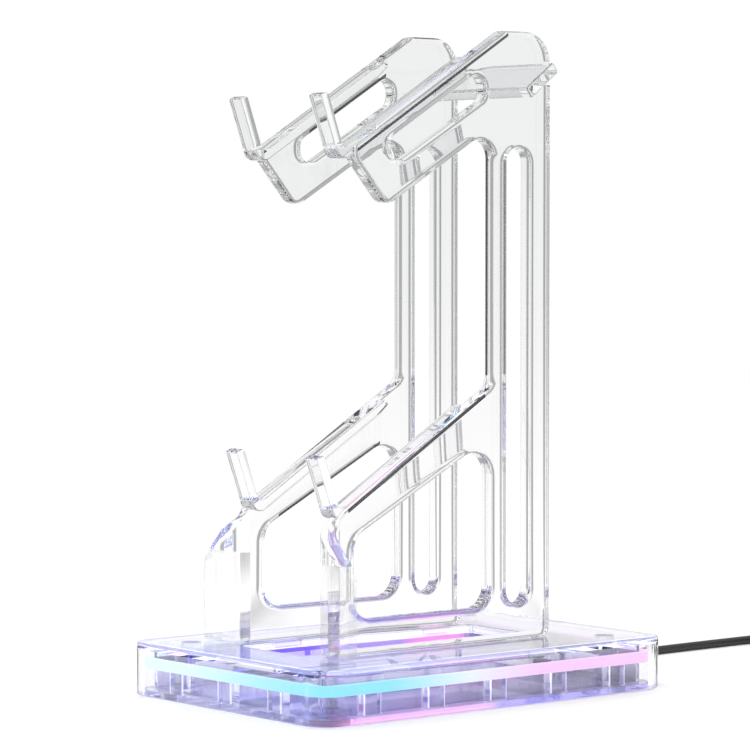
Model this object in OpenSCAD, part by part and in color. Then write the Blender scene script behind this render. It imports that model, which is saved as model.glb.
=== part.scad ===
// Clear two-tier storage rack: two moulded side frames with hooks stand on a lit base with a lead.
// Millimetres. Z is up, the hooks face -Y, and the origin is under the middle of the base, between the feet.

/* [Base] */
// Width of the base, across the two frames
base_w = 140; // [120:1:190]
// Depth of the base, from front to rear
base_d = 200; // [180:1:260]
// Height of the base housing, without its feet
base_h = 23.5; // [22:0.5:34]
// Radius of the base's upright corners
base_r = 13; // [12:0.5:20]
// Thickness of the clear cover's upright wall
cover_wall = 4.5; // [3:0.5:6]
// Thickness of the clear cover's top
cover_top = 3.5; // [2.5:0.5:4.5]
// Radius of the cover's softened top edge
cover_edge = 1; // [0.5:0.25:2]
// Thickness of the floor plate
floor_t = 2.5; // [2:0.5:4]
// Gap around pieces that sit inside each other
fit = 0.3; // [0.15:0.05:0.5]

/* [Tray in the base top] */
// Width of the tray
tray_w = 44; // [30:1:46]
// Length of the tray
tray_d = 130; // [80:1:140]
// Centre of the tray, behind the middle of the base
tray_y = -7; // [-14:1:5]
// Depth of the tray
tray_deep = 9; // [6:0.5:10]
// Wall and floor thickness of the tray
tray_wall = 2; // [1.5:0.25:3]

/* [Light] */
// Height of the glowing band
band_h = 4.5; // [3:0.5:6]
// Distance from the top of the base down to the band
band_drop = 7; // [5:0.5:9]
// Thickness of the glowing band
band_t = 3; // [2:0.5:4]
// Width of the flexible strip behind the band
strip_w = 4; // [3:0.5:4.5]
// Thickness of the flexible strip
strip_t = 0.4; // [0.3:0.1:0.6]
// Side of one light chip
chip_w = 3.2; // [2:0.1:3.5]
// How far a light chip stands off the strip
chip_t = 1.4; // [1:0.1:1.6]
// Spacing of the light chips
chip_pitch = 17; // [12:1:25]
// Width of one rib under the band
rib_w = 8.7; // [5:0.1:12]
// Spacing of the ribs
rib_pitch = 35; // [25:1:50]

/* [Side frames] */
// Thickness of each frame
frame_t = 8; // [6:0.5:10]
// Clear space between the two frames
frame_gap = 55; // [51:1:70]
// Height of the frames above the base
frame_h = 269.5; // [250:0.5:300]
// Rear edge of the frames, behind the middle of the base
frame_rear = 59; // [56:1:70]
// Front edge of the upright column
column_front = 25.3; // [22:0.1:28]
// Slope of the top edge of both arms, in degrees
arm_slope = 31.3; // [28:0.1:34]
// Foremost reach of the upper arm
upper_arm_front = -54; // [-60:0.5:-48]
// Drop from the frames' top to the upper arm's top edge, at its front
upper_arm_drop = 51.5; // [48:0.5:64]
// Upright depth of the upper arm, at its front
arm_depth = 37.5; // [34:0.5:40]
// How much deeper the upper arm is at the column
arm_flare = 1.5; // [0:0.5:4]
// Height of the lower arm's top edge, at the column
lower_arm_z = 113.5; // [105:0.5:118]
// Foremost face of the turned-out feet of the frames
foot_front = -72; // [-76:0.5:-70]
// How far each foot turns outward, past the frame's outer face
foot_reach = 15.4; // [12:0.1:18]
// Mid radius of the bend where the foot turns outward
foot_bend_r = 6; // [5:0.25:7]
// Width of the long slot in the column
slot_w = 13; // [10:0.5:14]
// Height of the slot's lower end above the base
slot_low = 15.5; // [12:0.5:30]
// Drop from the frames' top to the slot's upper end
slot_drop = 51.5; // [48:0.5:80]
// How far the slot sits in front of the column's middle
slot_shift = 2.4; // [0:0.1:4]
// Length of the locating tongues under each frame
tongue_l = 16; // [10:1:22]
// Width of the locating tongues
tongue_w = 4; // [3:0.25:5]

/* [Hooks] */
// Width of the ledge and hook, across the frame
hook_w = 9.7; // [8:0.1:11]
// How far the ledge stands inside the frame's inner face
hook_inset = 4.1; // [3:0.1:6]
// Thickness of the ledge and hook
hook_t = 4.2; // [3:0.1:5]
// Length of the upturned part of the hook
hook_len = 26; // [18:0.5:32]
// How far the upturned part leans forward from upright, in degrees
hook_lean = 19.5; // [10:0.5:28]
// Place of the upper hook, where its lip rises from the ledge
upper_hook_y = -57.5; // [-60:0.5:-55]
// Place of the lower hook, where its lip rises from the ledge
lower_hook_y = -59.7; // [-61:0.1:-56]
// Rear end of both ledges
ledge_rear = 12; // [4:1:16]
// Length over which the rear end of a ledge thins out
ledge_taper = 6; // [3:0.5:10]
// Radius in the corner between ledge and lip
hook_bend_r = 3; // [2:0.5:5]

/* [Crossbar] */
// Width of the crossbar
bar_w = 20; // [14:0.5:22]
// Thickness of the crossbar
bar_t = 5.5; // [4:0.5:7]
// Tilt of the crossbar, in degrees
bar_tilt = 37; // [30:1:42]
// Drop from the frames' top to the crossbar's middle
bar_drop = 21.2; // [19:0.1:28]
// How far the crossbar's rear edge stands past the frames
bar_rear = 1.5; // [0.5:0.25:2.5]
// Radius of the crossbar's long edges
bar_r = 1.2; // [0.5:0.1:2]
// Gap around the crossbar in its notches
bar_fit = 0.15; // [0.1:0.05:0.3]

/* [Feet and screws] */
// Diameter of the rubber feet
foot_d = 12; // [9:0.5:14]
// Thickness of the rubber feet
foot_t = 2.2; // [1.8:0.1:3]
// How far the feet stand out under the base
foot_out = 1; // [0.5:0.1:1.2]
// Distance of the feet and posts from the base's sides
post_inset = 21; // [20:0.5:26]
// Diameter of the posts that carry the screws
post_d = 9; // [8:0.5:12]
// Diameter of the screws
screw_d = 3; // [2.5:0.25:3.5]
// Diameter of the screw heads
head_d = 5.4; // [5:0.1:6]
// Height of the screw heads
head_t = 1.6; // [1.2:0.1:1.8]

/* [Lead] */
// Diameter of the lead
lead_d = 4; // [3.5:0.1:5]
// Size of the plug's moulded body: width, length, height
plug_size = [16, 22, 8];
// Size of the plug's metal shell: width, length, height
shell_size = [12, 12, 4.5];
// Place of the lead across the base
lead_x = -20; // [-30:1:30]
// Distance from the underside of the light band down to the lead's middle
lead_drop = 4; // [2:0.5:5]
// Length of the strain relief outside the base
relief_l = 18; // [12:1:25]
// Diameter of the strain relief at the base
relief_d = 8; // [7:0.5:9]
// Mid radius of the coiled lead
coil_r = 23; // [20:1:26]
// Width of the coil's bundle of turns
coil_w = 12.4; // [8:0.1:14]
// Height of the coil's bundle of turns
coil_h = 11.6; // [8:0.1:14]

/* [Hidden] */
$fn = 48;
eps = 0.01;

// Colours, as red, green, blue and cover
clear_tint = [0.88, 0.91, 0.95, 0.45];
floor_tint = [0.72, 0.74, 0.95, 0.55];
band_tint = [0.45, 0.85, 0.98];
strip_tint = [0.93, 0.93, 0.9];
chip_tint = [0.98, 0.95, 0.7];
board_tint = [0.92, 0.93, 0.93];
rubber_tint = [0.75, 0.76, 0.78];
black_tint = [0.08, 0.08, 0.09];
steel_tint = [0.72, 0.73, 0.75];

// Heights that follow from the base
base_z = foot_out;
base_top = base_z + base_h;
ceiling_z = base_top - cover_top;
floor_top = base_z + floor_t;
band_top = base_top - band_drop;
band_z = band_top - band_h;
lead_z = band_z - lead_drop;

// Insets from the base's side: each ring sits inside the last
floor_inset = cover_wall + fit;
band_inset = cover_wall + fit;
chip_inset = band_inset + band_t + fit;
strip_inset = chip_inset + chip_t;
curb_inset = strip_inset + strip_t;
curb_t = 2;
curb_top = ceiling_z - fit;
strip_z = band_z + (band_h - strip_w) / 2;

// Frame places
frame_in = frame_gap / 2;
frame_out = frame_in + frame_t;
frame_mid = frame_in + frame_t / 2;
post_xs = [-1, 1] * (base_w / 2 - post_inset);
post_ys = [-1, 1] * (base_d / 2 - post_inset);
tongue_ys = [-42, 42];
tongue_deep = cover_top - 0.5;
tongue_fit = 0.15;
upper_arm_z = frame_h - upper_arm_drop;
slot_high = frame_h - slot_drop;
bar_z = frame_h - bar_drop;

// Window under each arm: how far it stays behind the arm's front and before the column, then how far its top
// and bottom edges lie below the arm's top edge, each at the front and at the rear
upper_window_ends = [21, 5.3];
upper_window_tops = [9.5, 10];
upper_window_lows = [22.5, 24];
lower_window_ends = [8.5, 1.8];
lower_window_tops = [15.5, 22.5];
lower_window_sill = 15;
// From the upper arm's front back to where its underside begins to rise
arm_chin = 18;
// The outline runs this far past the foot's front, and the bend cuts it off there
outline_over = 20;

// Steps in each round stretch of a frame's outline
arc_steps = 6;

// A point's first two numbers, a unit vector, and the sine between two unit vectors
function flat2(c) = [c[0], c[1]];
function unit(v) = v / norm(v);
function cross2(a, b) = a[0] * b[1] - a[1] * b[0];

// One rounded corner of an outline, as points on its arc. The outline runs anticlockwise, so a left turn is an
// outer corner and a right turn an inner one.
function corner(before, here, after, r) =
    let (a = unit(here - before), b = unit(after - here),
         n1 = [-a[1], a[0]], n2 = [-b[1], b[0]],
         s = sign(cross2(a, b)) * r,
         centre = here + s * (n1 + n2) / (1 + n1 * n2),
         start = atan2(n1[1], n1[0]),
         sweep = atan2(cross2(n1, n2), n1 * n2))
    [for (k = [0:arc_steps]) let (t = start + sweep * k / arc_steps)
        centre - s * [cos(t), sin(t)]];

// All points of a rounded outline, given as [y, z, radius] corners
function outline(c) =
    let (n = len(c))
    [for (i = [0:n - 1]) each corner(flat2(c[(i + n - 1) % n]), flat2(c[i]), flat2(c[(i + 1) % n]), c[i][2])];

// A solid between closed rings of equally many points, which run anticlockwise seen from past the last ring
module loft(rings) {
    n = len(rings[0]);
    m = len(rings);
    polyhedron(
        points = [for (r = rings) each r],
        faces = concat(
            [[for (i = [0:n - 1]) i]],
            [for (k = [0:m - 2]) for (i = [0:n - 1]) let (j = (i + 1) % n)
                [k * n + i, (k + 1) * n + i, (k + 1) * n + j, k * n + j]],
            [[for (i = [n - 1:-1:0]) (m - 1) * n + i]]),
        convexity = 10);
}

// A rounded rectangle, w by d, with its corners at radius r
module rounded(w, d, r) {
    for (x = [-1, 1], y = [-1, 1])
        translate([x * (w / 2 - r), y * (d / 2 - r)]) circle(r);
    square([w - 2 * r, d], center = true);
    square([w, d - 2 * r], center = true);
}

// The base's outline, inset by i
module base_shape(i) {
    rounded(base_w - 2 * i, base_d - 2 * i, base_r - i);
}

// A ring that follows the base's outline, from inset i inward by t
module base_ring(i, t, h) {
    linear_extrude(h) difference() {
        base_shape(i);
        base_shape(i + t);
    }
}

// Places children along the straight sides of the base at a pitch, x pointing outward from side inset i
module along_sides(i, pitch, corner_gap) {
    for (side = [0:3]) {
        long = side % 2 == 0 ? base_d : base_w;
        reach = side % 2 == 0 ? base_w / 2 : base_d / 2;
        count = floor((long - 2 * corner_gap) / pitch);
        rotate(side * 90) translate([reach - i, 0, 0])
            for (k = [0:count]) translate([0, (k - count / 2) * pitch, 0]) children();
    }
}

// Clear cover with its tray, the frames' tongue slots and the bosses over the posts
module base_cover() {
    color(clear_tint) difference() {
        union() {
            difference() {
                union() {
                    translate([0, 0, base_z]) linear_extrude(base_h - cover_edge) base_shape(0);
                    translate([0, 0, base_top - cover_edge])
                        linear_extrude(cover_edge / 2) base_shape(cover_edge / 3);
                    translate([0, 0, base_top - cover_edge / 2])
                        linear_extrude(cover_edge / 2) base_shape(cover_edge);
                }
                translate([0, 0, base_z - 1]) linear_extrude(base_h - cover_top + 1) base_shape(cover_wall);
            }
            translate([0, tray_y, base_top - tray_deep - tray_wall])
                linear_extrude(tray_deep + tray_wall - cover_edge)
                    rounded(tray_w + 2 * tray_wall, tray_d + 2 * tray_wall, tray_wall + 3);
            at_posts() translate([0, 0, boss_top]) cylinder(d = post_d, h = ceiling_z - boss_top + 1);
        }
        translate([0, tray_y, base_top - tray_deep]) linear_extrude(tray_deep + 1) rounded(tray_w, tray_d, 3);
        at_posts() translate([0, 0, boss_top - 1]) cylinder(d = screw_d, h = screw_grip + 2);
        for (x = [-1, 1] * frame_mid, y = tongue_ys)
            translate([x, y, base_top - tongue_deep - fit])
                tongue_block(tongue_w + 2 * tongue_fit, tongue_l + 2 * tongue_fit, tongue_deep + fit + 1);
        lead_hole(relief_d - 2 + fit);
    }
}

// A tongue, or with more size the pocket for it
module tongue_block(w, l, h) {
    linear_extrude(h) rounded(w, l, w / 2 - 0.1);
}

// The way out for the strain relief through the rear wall
module lead_hole(d) {
    translate([lead_x, base_d / 2 + 1, lead_z]) rotate([90, 0, 0]) cylinder(d = d, h = cover_wall + 2);
}

// Floor plate with the curb that carries the light strip, the ribs that carry the band, and the posts
module floor_plate() {
    color(floor_tint) difference() {
        union() {
            translate([0, 0, base_z]) linear_extrude(floor_t) base_shape(floor_inset);
            translate([0, 0, base_z]) base_ring(curb_inset, curb_t, curb_top - base_z);
            translate([0, 0, base_z]) along_sides(curb_inset, rib_pitch, base_r + rib_w)
                translate([-eps, -rib_w / 2, 0]) cube([curb_inset - floor_inset + eps, rib_w, band_z - base_z]);
            at_posts() translate([0, 0, base_z]) cylinder(d = boss_d, h = boss_top - base_z);
            for (p = board_screw_places()) translate([p[0], p[1], base_z])
                cylinder(d = 6, h = board_z - base_z);
        }
        at_posts() {
            cylinder(d = foot_d + 2 * fit, h = foot_t);
            cylinder(d = head_d + 2 * fit, h = screw_seat_z);
            cylinder(d = screw_d + fit, h = boss_top + 1);
        }
        for (p = board_screw_places()) translate([p[0], p[1], board_z - 4]) cylinder(d = 2, h = 5);
        translate([lead_x, base_d / 2 - strip_inset + 1, lead_z]) rotate([90, 0, 0])
            cylinder(d = lead_d + 2 * fit, h = curb_t + 4);
        translate([lead_x - relief_d / 2 - fit, base_d / 2 - curb_inset, lead_z - relief_d / 2 - fit])
            cube([relief_d + 2 * fit, curb_inset, relief_d + 2 * fit]);
    }
}

// Each base screw's head seats over a foot's recess in a boss of the floor plate, and its tip grips a post
// moulded down from the cover
screw_seat_z = foot_t + head_t + 0.4;
boss_top = screw_seat_z + 2;
boss_d = foot_d + 4;
screw_grip = 9;

module at_posts() {
    for (x = post_xs, y = post_ys) translate([x, y, 0]) children();
}

module base_screws() {
    color(steel_tint) at_posts() {
        translate([0, 0, screw_seat_z - head_t]) difference() {
            cylinder(d = head_d, h = head_t);
            for (q = [0, 90]) rotate(q) translate([-head_d / 3, -0.4, -eps]) cube([head_d * 2 / 3, 0.8, 0.8]);
        }
        translate([0, 0, screw_seat_z]) cylinder(d = screw_d, h = boss_top - screw_seat_z + screw_grip);
    }
}

// Glowing band: a frosted ring just inside the cover's wall, resting on the ribs
module light_band() {
    color(band_tint) translate([0, 0, band_z]) base_ring(band_inset, band_t, band_h);
}

// Flexible strip on the curb, behind the band
module led_strip() {
    color(strip_tint) translate([0, 0, strip_z]) base_ring(strip_inset, strip_t, strip_w);
}

module led_chips() {
    color(chip_tint) translate([0, 0, strip_z + strip_w / 2])
        along_sides(strip_inset, chip_pitch, base_r + chip_w)
            translate([0, -chip_w / 2, -chip_w / 2]) cube([chip_t, chip_w, chip_w]);
}

// Control board at the rear of the base, behind the tray, on its own short posts
board_w = 46;
board_d = 18;
board_t = 1.2;
board_x = 0;
board_y = base_d / 2 - curb_inset - curb_t - 3 - board_d / 2;
board_z = floor_top + 3;
function board_screw_places() = [for (s = [-1, 1]) [board_x + s * (board_w / 2 - 4), board_y]];

module control_board() {
    color(board_tint) difference() {
        translate([board_x, board_y, board_z]) linear_extrude(board_t) rounded(board_w, board_d, 1.5);
        for (p = board_screw_places()) translate([p[0], p[1], board_z - 1]) cylinder(d = 2.4, h = board_t + 2);
    }
}

module driver_chip() {
    body = [7, 5, 1.4];
    leg = [0.6, 1, 0.5];
    leg_pitch = 1.6;
    color(black_tint) translate([board_x + 8, board_y, board_z + board_t]) {
        translate([-body[0] / 2, -body[1] / 2, 0.2]) cube(body);
        for (k = [-1.5:1.5], s = [-1, 1])
            translate([k * leg_pitch - leg[0] / 2, s * (body[1] / 2 + 0.4) - leg[1] / 2, 0]) cube(leg);
    }
}

module board_socket() {
    size = [8, 6, 5];
    wall = 1;
    color(strip_tint) translate([lead_x + 10, board_y + 1, board_z + board_t]) difference() {
        translate([-size[0] / 2, -size[1] / 2, 0]) cube(size);
        translate([wall - size[0] / 2, wall / 2 + wall - size[1] / 2, wall])
            cube([size[0] - 2 * wall, size[1], size[2] - 2 * wall]);
    }
}

module board_screws() {
    color(steel_tint) for (p = board_screw_places()) translate([p[0], p[1], board_z]) {
        translate([0, 0, board_t]) cylinder(d = 4, h = 1.4);
        translate([0, 0, -3]) cylinder(d = 2, h = 3 + board_t + 0.2);
    }
}

// The lines that both arms' top edges follow, as the height at a given y
function slope() = tan(arm_slope);
function upper_line(y) = upper_arm_z + (y - upper_arm_front) * slope();
function lower_line(y) = lower_arm_z + (y - column_front) * slope();
function lift(c) = [for (p = c) [p[0], p[1] + base_top, p[2]]];

// Where the flat plate ends and the foot's bend begins
bend_out = foot_bend_r + frame_t / 2;
bend_y = foot_front + bend_out;

// Side frame outline, from its lower front corner, anticlockwise as seen from +X
function frame_outline() = let (front = foot_front - outline_over, chin = upper_arm_front + arm_chin) lift([
    [front, 0, 3],
    [frame_rear, 0, 4],
    [frame_rear, frame_h, 14],
    [upper_arm_front + upper_arm_drop / slope(), frame_h, 6],
    [upper_arm_front, upper_arm_z, 3.5],
    [upper_arm_front, upper_arm_z - 5.5, 5],
    [chin, upper_line(chin) - arm_depth, 7],
    [column_front, upper_line(column_front) - arm_depth - arm_flare, 8],
    [column_front, lower_arm_z, 9],
    [front, lower_line(front), 3]
]);

function upper_window() =
    let (front = upper_arm_front + upper_window_ends[0], rear = column_front - upper_window_ends[1]) lift([
        [front, upper_line(front) - upper_window_lows[0], 5],
        [rear, upper_line(rear) - upper_window_lows[1], 6],
        [rear, upper_line(rear) - upper_window_tops[1], 5],
        [front, upper_line(front) - upper_window_tops[0], 4]
    ]);

function lower_window() =
    let (front = bend_y + lower_window_ends[0], rear = column_front - lower_window_ends[1]) lift([
        [front, lower_window_sill, 9],
        [rear, lower_window_sill, 10],
        [rear, lower_line(rear) - lower_window_tops[1], 10],
        [front, lower_line(front) - lower_window_tops[0], 10]
    ]);

function column_slot() = lift([
    for (p = [[-1, slot_low], [1, slot_low], [1, slot_high], [-1, slot_high]])
        [(column_front + frame_rear) / 2 - slot_shift + p[0] * slot_w / 2, p[1], slot_w / 2 - 0.05]
]);

// The frame's flat plate with its three windows
module frame_plate() {
    intersection() {
        translate([frame_in, 0, 0]) rotate([90, 0, 90]) linear_extrude(frame_t) difference() {
            polygon(outline(frame_outline()));
            for (w = [upper_window(), lower_window(), column_slot()]) polygon(outline(w));
        }
        union() {
            translate([0, bend_y, 0]) cube([base_w, base_d, base_top + frame_h]);
            translate([0, -base_d, base_top + foot_ceiling]) cube([base_w, 2 * base_d, frame_h]);
        }
    }
}

// The foot is the plate carried on round a quarter bend and outward, and its top falls at 45 degrees
foot_ceiling = 100;
foot_lap = 1;
foot_flat = foot_reach + frame_t / 2 - foot_bend_r;
module turned_foot() {
    intersection() {
        translate([frame_mid, bend_y, base_top]) linear_extrude(foot_ceiling) {
            translate([foot_bend_r, 0]) intersection() {
                difference() {
                    circle(foot_bend_r + frame_t / 2);
                    circle(foot_bend_r - frame_t / 2);
                }
                translate([-2 * bend_out, -2 * bend_out]) square(2 * bend_out);
            }
            translate([foot_bend_r, -foot_bend_r - frame_t / 2]) square([foot_flat, frame_t]);
            translate([-frame_t / 2, 0]) square([frame_t, foot_lap]);
        }
        translate([0, 0, base_top + lower_line(bend_y)]) rotate([90, 0, 0])
            linear_extrude(base_d, center = true)
                polygon([[0, -foot_ceiling], [base_w, -foot_ceiling], [base_w, frame_in - base_w],
                         [frame_in, 0], [0, 0]]);
    }
}

// Ledge and hook: a strip that lies along the arm's top edge and turns up at the front
module hook_strip(y0, z0) {
    length = (ledge_rear - y0) / cos(arm_slope);
    translate([frame_in - hook_inset, y0, z0])
        rotate([90, 0, 90]) linear_extrude(hook_w) {
            difference() {
                union() {
                    rotate(arm_slope) polygon([
                        [0, 0], [0, -hook_t], [length - ledge_taper, -hook_t], [length, -hook_t / 4],
                        [length, 0]
                    ]);
                    rotate(90 + hook_lean) square([hook_len - hook_t / 2, hook_t]);
                    rotate(90 + hook_lean) translate([hook_len - hook_t / 2, hook_t / 2]) circle(hook_t / 2);
                    circle(hook_t);
                }
                rotate(arm_slope - 90) translate([hook_t, -2 * hook_t])
                    square([hook_t, 2 * hook_t]);
            }
            hook_fillet();
        }
}

// Fills the inner corner between ledge and lip with a round
module hook_fillet() {
    inner = 90 + hook_lean - arm_slope;
    reach = hook_bend_r / tan(inner / 2);
    far = hook_bend_r / sin(inner / 2) * [cos(inner / 2), sin(inner / 2)];
    rotate(arm_slope) difference() {
        polygon([[0, 0], [reach, 0], far, reach * [cos(inner), sin(inner)]]);
        translate(far) circle(hook_bend_r);
    }
}

module crossbar_shape(grow) {
    translate([0, frame_rear + bar_rear - bar_w / 2 * cos(bar_tilt), base_top + bar_z])
        rotate([bar_tilt, 0, 0]) rotate([90, 0, 90])
            translate([0, 0, -frame_out - 1 - grow]) linear_extrude(2 * (frame_out + 1 + grow))
                rounded(bar_w + 2 * grow, bar_t + 2 * grow, bar_r);
}

// One frame, as the right-hand one
module side_frame() {
    color(clear_tint) difference() {
        union() {
            frame_plate();
            turned_foot();
            hook_strip(upper_hook_y, base_top + upper_line(upper_hook_y));
            hook_strip(lower_hook_y, base_top + lower_line(lower_hook_y));
            for (y = tongue_ys) translate([frame_mid, y, base_top - tongue_deep])
                tongue_block(tongue_w, tongue_l, tongue_deep + 4);
        }
        crossbar_shape(bar_fit);
        translate([frame_in - 1, frame_rear - 2, base_top + bar_z - 2]) cube([frame_t + 2, 4, bar_t + 5]);
    }
}

module right_frame() { side_frame(); }
module left_frame() { mirror([1, 0, 0]) side_frame(); }
module crossbar() { color(clear_tint) crossbar_shape(0); }

// Rubber feet, pressed into the recesses under the posts
module rubber_foot(sx, sy) {
    color(rubber_tint) translate([sx * (base_w / 2 - post_inset), sy * (base_d / 2 - post_inset), 0]) {
        cylinder(d = foot_d - 1, h = 0.5);
        translate([0, 0, 0.5]) cylinder(d = foot_d, h = foot_t - 0.5);
    }
}
module front_left_foot() { rubber_foot(-1, -1); }
module front_right_foot() { rubber_foot(1, -1); }
module rear_left_foot() { rubber_foot(-1, 1); }
module rear_right_foot() { rubber_foot(1, 1); }

// Strain relief: a flange inside the wall, a neck through it, and a ribbed taper outside
module strain_relief() {
    neck = cover_wall + fit;
    ribs = 5;
    color(black_tint) translate([lead_x, base_d / 2, lead_z]) rotate([-90, 0, 0]) difference() {
        rotate_extrude() polygon([
            [0, -neck - 2], [relief_d / 2, -neck - 2], [relief_d / 2, -neck], [relief_d / 2 - 1, -neck],
            [relief_d / 2 - 1, 0], [relief_d / 2, 0], [relief_d / 2, 2.5], [relief_d / 2 - 0.6, 3],
            for (k = [0:ribs - 1]) each
                [for (p = [[0.5, 1.1], [1.4, 1.1], [1.4, 0.4], [2.4, 0.4]])
                    [lead_d / 2 + p[1] * (1 - k / ribs) + 0.6, 3 + p[0] + k * 2.6]],
            [lead_d / 2 + 0.6, relief_l], [0, relief_l]
        ]);
        translate([0, 0, -neck - 3]) cylinder(d = lead_d, h = neck + relief_l + 4);
    }
}

// Lead inside the base: level with the strain relief as far as the curb, then level with the socket over the board
socket_z = board_z + board_t + 2.5;
inner_route = [
    [lead_x, base_d / 2 - 7.2, lead_z],
    [lead_x, base_d / 2 - 10, lead_z],
    [lead_x + 0.2, base_d / 2 - 12.6, lead_z + 0.1],
    [lead_x + 2, base_d / 2 - 14.6, socket_z - 0.7],
    [lead_x + 6, base_d / 2 - 15.7, socket_z - 0.2],
    [lead_x + 9, base_d / 2 - 17, socket_z],
    [lead_x + 10, base_d / 2 - 19.6, socket_z]
];

// The free lead: out of the strain relief, down to the surface, then away behind the base
cable_route = [
    [-20, 118, 9], [-20, 122, 8.9], [-20, 127, 8.4], [-20, 132, 7.5], [-20, 137, 6.3], [-20, 142, 5],
    [-20.1, 147, 3.8], [-20.2, 152, 2.9], [-20.4, 158, 2.3], [-20.7, 165, 2.1], [-21, 175, 2.1],
    [-21.6, 190, 2.1], [-22, 205, 2.1], [-22.2, 220, 2.1], [-22.3, 235, 2.1], [-22.3, 250, 2.1],
    [-22.3, 255.3, 2.1]
];
// From the coil to the plug
tail_route = [[26, 258, 4.2], [26.2, 254, 4.2], [26.4, 250, 4.2], [26.5, 246.3, 4.2]];

// A round tube of s sides swept along a route
function heading(route, i) = let (n = len(route)) unit(route[min(i + 1, n - 1)] - route[max(i - 1, 0)]);
module tube(route, d, s) {
    loft([for (i = [0:len(route) - 1])
        let (t = heading(route, i), side = unit(cross(t, [0, 0, 1])), up = cross(side, t))
        [for (k = [0:s - 1]) let (q = 360 * (k + 0.5) / s) route[i] + d / 2 * (cos(q) * side - sin(q) * up)]]);
}

module inner_lead() { color(black_tint) tube(inner_route, lead_d - 1, 8); }
module cable() {
    color(black_tint) {
        tube(cable_route, lead_d, 8);
        tube(tail_route, lead_d, 8);
    }
}

// Coil just behind the end of the free lead
coil_place = [0.7, 276, 0];
module cable_coil() {
    color(black_tint) translate(coil_place) rotate_extrude($fn = 96)
        translate([coil_r - coil_w / 2, 0]) translate([coil_w / 2, coil_h / 2]) rounded(coil_w, coil_h, 3);
}

module coil_tie() {
    tie_t = 1;
    tie_w = 7;
    slack = 2 * fit;
    color(black_tint) translate(coil_place) rotate(75) translate([coil_r, 0, 0]) difference() {
        translate([-coil_w / 2 - slack - tie_t, -tie_w / 2, 0])
            cube([coil_w + 2 * slack + 2 * tie_t, tie_w, coil_h + fit + tie_t]);
        translate([-coil_w / 2 - slack, -tie_w, -1]) cube([coil_w + 2 * slack, 2 * tie_w, coil_h + 1 + fit]);
    }
}

// Plug, lying flat beside the coil, with the lead at its rear and the shell at its front
plug_place = [26.5, 224, 0.2];
shell_wall = 0.4;
module plug_body() {
    color(black_tint) translate(plug_place) translate([0, plug_size[1] / 2, 0])
        linear_extrude(plug_size[2]) rounded(plug_size[0], plug_size[1], 2);
}
module plug_shell() {
    inside = shell_size - 2 * shell_wall * [1, 0, 1];
    color(steel_tint) translate(plug_place) translate([0, -shell_size[1] / 2, plug_size[2] / 2]) difference() {
        cube(shell_size, center = true);
        cube(inside + [0, 1, 0], center = true);
    }
}
module plug_tongue() {
    reach = shell_size[1] - 1;
    color(strip_tint) translate(plug_place)
        translate([-shell_size[0] / 2 + 0.5, -reach, plug_size[2] / 2 + 0.1])
            cube([shell_size[0] - 1, reach, 1.7]);
}

base_cover();
floor_plate();
light_band();
led_strip();
led_chips();
control_board();
driver_chip();
board_socket();
board_screws();
base_screws();
left_frame();
right_frame();
crossbar();
front_left_foot();
front_right_foot();
rear_left_foot();
rear_right_foot();
strain_relief();
inner_lead();
cable();
cable_coil();
coil_tie();
plug_body();
plug_shell();
plug_tongue();
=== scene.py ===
from math import pi, radians
import bmesh
import bpy
import numpy as np
from mathutils import Matrix, Vector
from mathutils.geometry import delaunay_2d_cdt


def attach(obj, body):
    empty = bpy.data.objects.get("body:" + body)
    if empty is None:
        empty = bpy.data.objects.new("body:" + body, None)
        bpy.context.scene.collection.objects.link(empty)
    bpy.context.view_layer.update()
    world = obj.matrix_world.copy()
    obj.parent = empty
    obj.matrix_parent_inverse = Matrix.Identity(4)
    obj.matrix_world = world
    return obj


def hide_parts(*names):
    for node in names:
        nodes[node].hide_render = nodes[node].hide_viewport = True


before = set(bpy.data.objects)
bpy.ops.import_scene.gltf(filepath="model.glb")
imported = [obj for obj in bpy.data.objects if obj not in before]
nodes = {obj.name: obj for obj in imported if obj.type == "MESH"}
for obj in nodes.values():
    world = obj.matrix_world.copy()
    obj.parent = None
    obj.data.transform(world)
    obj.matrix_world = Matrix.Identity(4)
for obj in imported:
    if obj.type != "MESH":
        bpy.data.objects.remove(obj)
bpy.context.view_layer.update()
scene = bpy.context.scene
scene.view_settings.view_transform = "Standard"
scene.cycles.max_bounces = 16  # light runs a long way inside thick clear plastic
scene.cycles.glossy_bounces = 12
scene.cycles.transmission_bounces = 16
mm = 0.001


cameraSet = {"around": 50.3, "away": 1.48, "height": 0.2085, "down": 2.58, "left": 0.42, "lens": 159.9}

camera = bpy.data.objects.new("camera", bpy.data.cameras.new("camera"))
scene.collection.objects.link(camera)
turn = radians(cameraSet["around"])
camera.location = (cameraSet["away"] * np.sin(turn), -cameraSet["away"] * np.cos(turn), cameraSet["height"])
camera.rotation_euler = (radians(90 - cameraSet["down"]), 0, turn + radians(cameraSet["left"]))
camera.data.lens = cameraSet["lens"]
camera.data.sensor_width = 36
camera.data.clip_end = 50
scene.camera = camera
print("camera set")


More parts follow.
